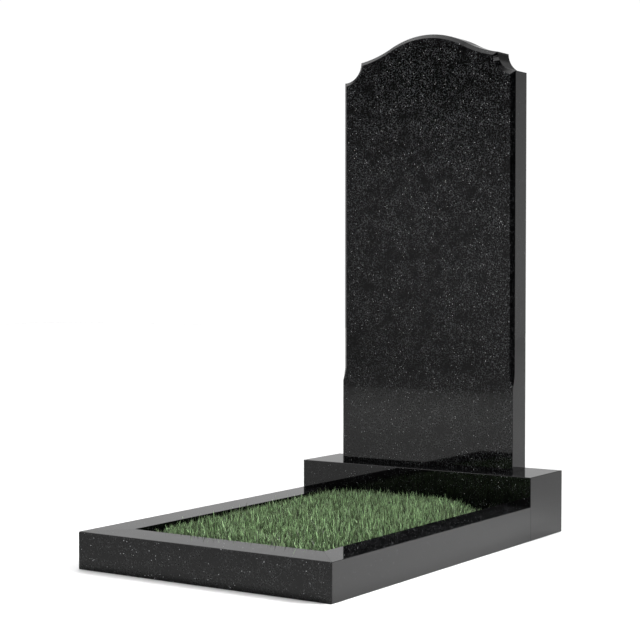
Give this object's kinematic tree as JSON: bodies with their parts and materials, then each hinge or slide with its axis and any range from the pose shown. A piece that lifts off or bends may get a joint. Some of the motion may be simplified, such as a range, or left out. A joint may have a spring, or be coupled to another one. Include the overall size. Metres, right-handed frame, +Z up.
{
  "type": "headstone",
  "caption": "Upright polished granite headstone slab with an ogee top and notched shoulders, on a plinth block with a kerb frame around a grass bed.",
  "frame": {"origin": "on the ground, at the middle of the whole footprint", "axes": "+Z up, the slab's face and the grass bed look along -Y, +X to the right of a visitor who faces the slab"},
  "size_m": [0.664, 1.048, 1.2543],
  "materials": {
    "granite": "polished",
    "turf": "matte"
  },
  "bodies": {
    "root": {"headstone_slab": "granite", "plinth": "granite", "kerb_left": "granite", "kerb_right": "granite", "kerb_front": "granite", "turf": "turf"}
  },
  "joints": []
}
